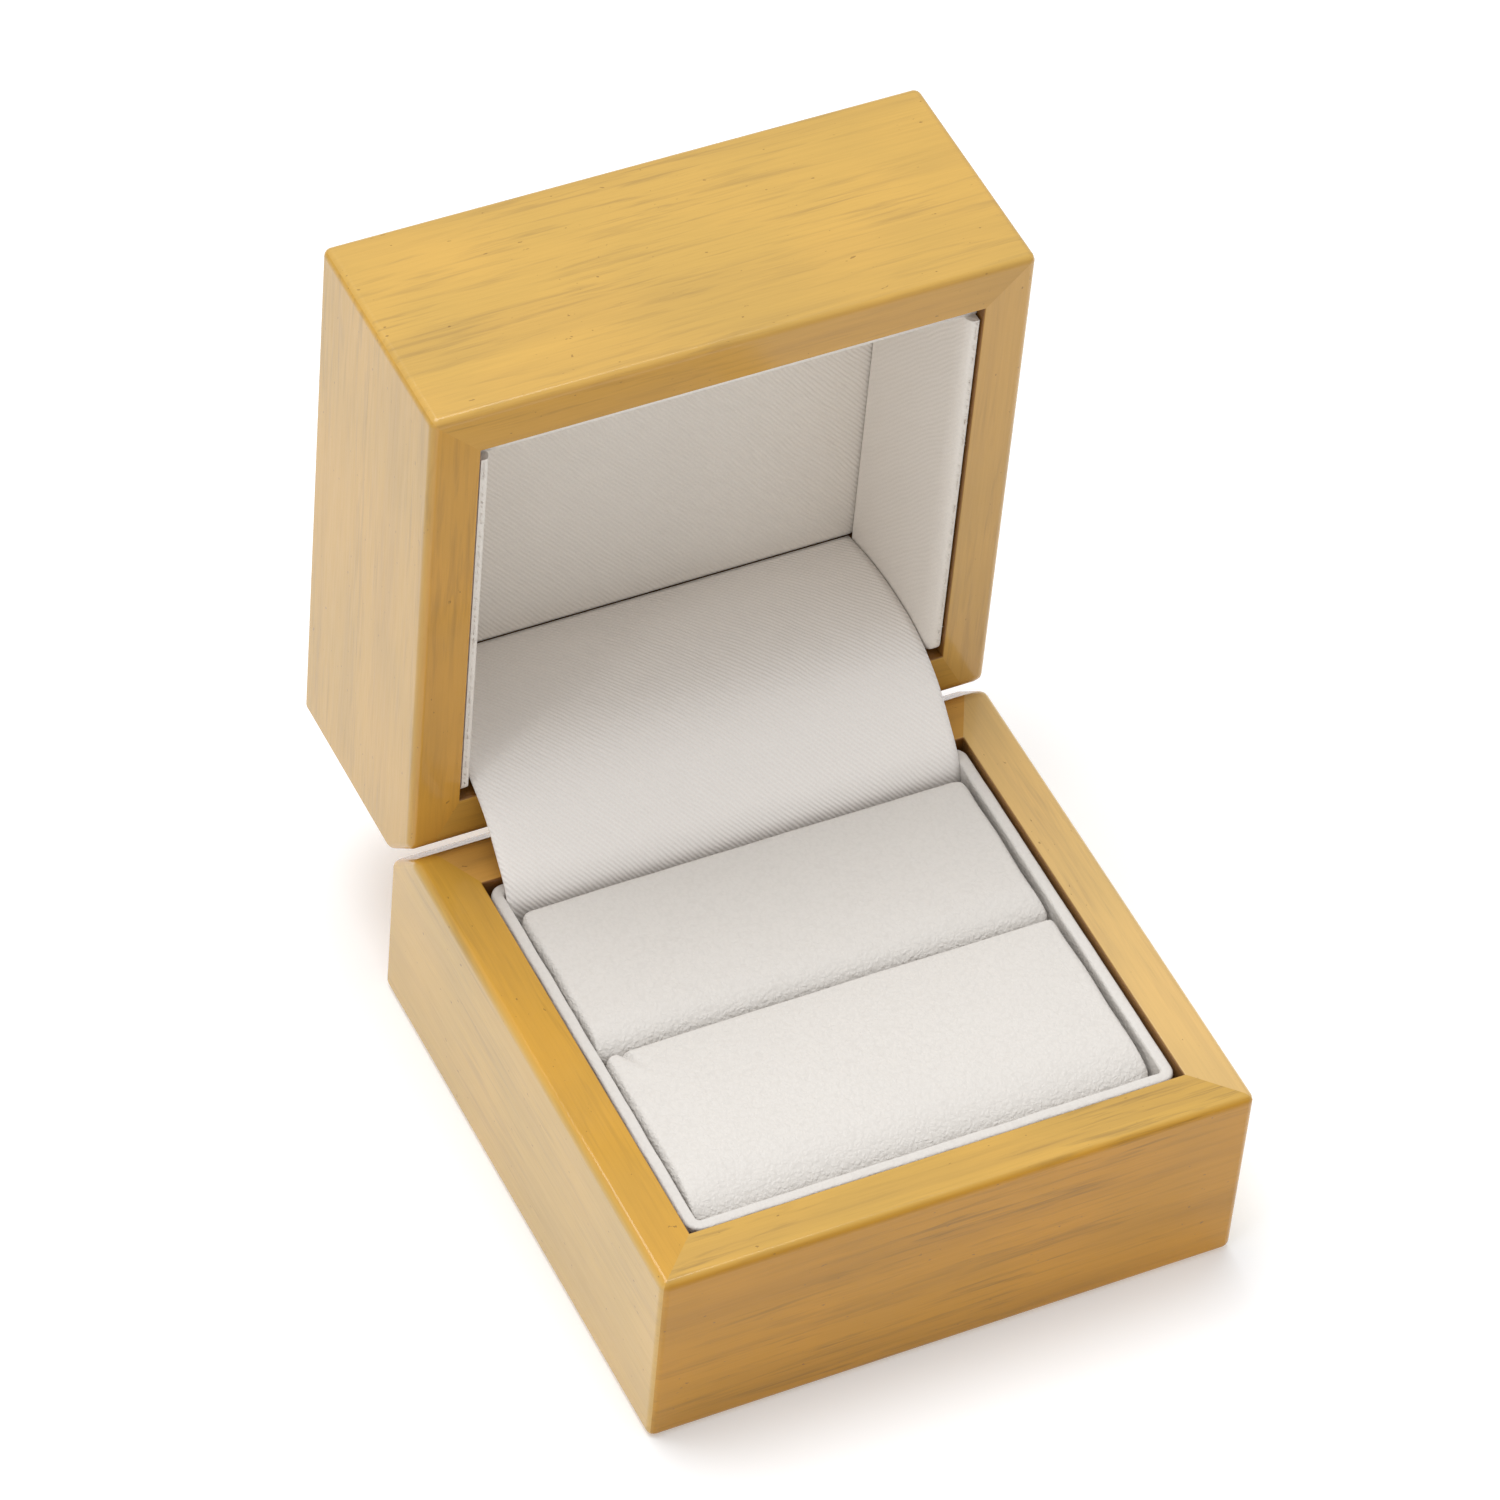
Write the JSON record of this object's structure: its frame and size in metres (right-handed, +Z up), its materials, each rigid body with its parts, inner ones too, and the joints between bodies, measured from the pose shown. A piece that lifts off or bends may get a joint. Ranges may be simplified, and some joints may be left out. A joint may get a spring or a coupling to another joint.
{
  "type": "ring box",
  "caption": "Small square hinged wooden ring box, standing open, with a cloth-lined lid and a leatherette insert of two pads that grip a ring between them.",
  "frame": {"origin": "centre of the underside of the base, which is the face the box stands on", "axes": "+Z up; +X to the right seen from the front; the front is -Y and the hinge side is +Y; the lid is open by a quarter turn at rest"},
  "size_m": [0.065, 0.0876, 0.0842],
  "materials": {
    "wood": "satin lacquer over pale straight-grained wood",
    "plywood": "bare plywood",
    "leatherette": "white fine-pebbled leatherette",
    "foam": "soft cream foam",
    "lining_cloth": "off-white fine twill with a faint satin sheen",
    "brass": "brushed",
    "steel": "bright"
  },
  "bodies": {
    "base": {"base_front_wall": "wood", "base_rear_wall": "wood", "base_left_wall": "wood", "base_right_wall": "wood", "base_bottom_panel": "plywood", "left_hinge_base_leaf": "brass", "left_hinge_pin": "steel", "left_hinge_base_screw_1": "brass", "left_hinge_base_screw_2": "brass", "right_hinge_base_leaf": "brass", "right_hinge_pin": "steel", "right_hinge_base_screw_1": "brass", "right_hinge_base_screw_2": "brass", "insert_tray": "leatherette", "front_pad_cover": "leatherette", "front_pad_foam": "foam", "rear_pad_cover": "leatherette", "rear_pad_foam": "foam", "hinge_flap": "lining_cloth"},
    "lid": {"lid_front_wall": "wood", "lid_rear_wall": "wood", "lid_left_wall": "wood", "lid_right_wall": "wood", "lid_top_panel": "wood", "left_hinge_lid_leaf": "brass", "left_hinge_lid_screw_1": "brass", "left_hinge_lid_screw_2": "brass", "right_hinge_lid_leaf": "brass", "right_hinge_lid_screw_1": "brass", "right_hinge_lid_screw_2": "brass", "lid_top_lining": "lining_cloth", "lid_front_lining": "lining_cloth", "lid_left_lining": "lining_cloth", "lid_right_lining": "lining_cloth"}
  },
  "joints": [
    {"name": "lid_hinge", "type": "hinge", "parent": "base", "child": "lid", "pos_m": [0, 0.0283, 0.0234], "axis": [1, 0, 0], "range_deg": [0, 90], "deforming": ["hinge_flap"]}
  ]
}
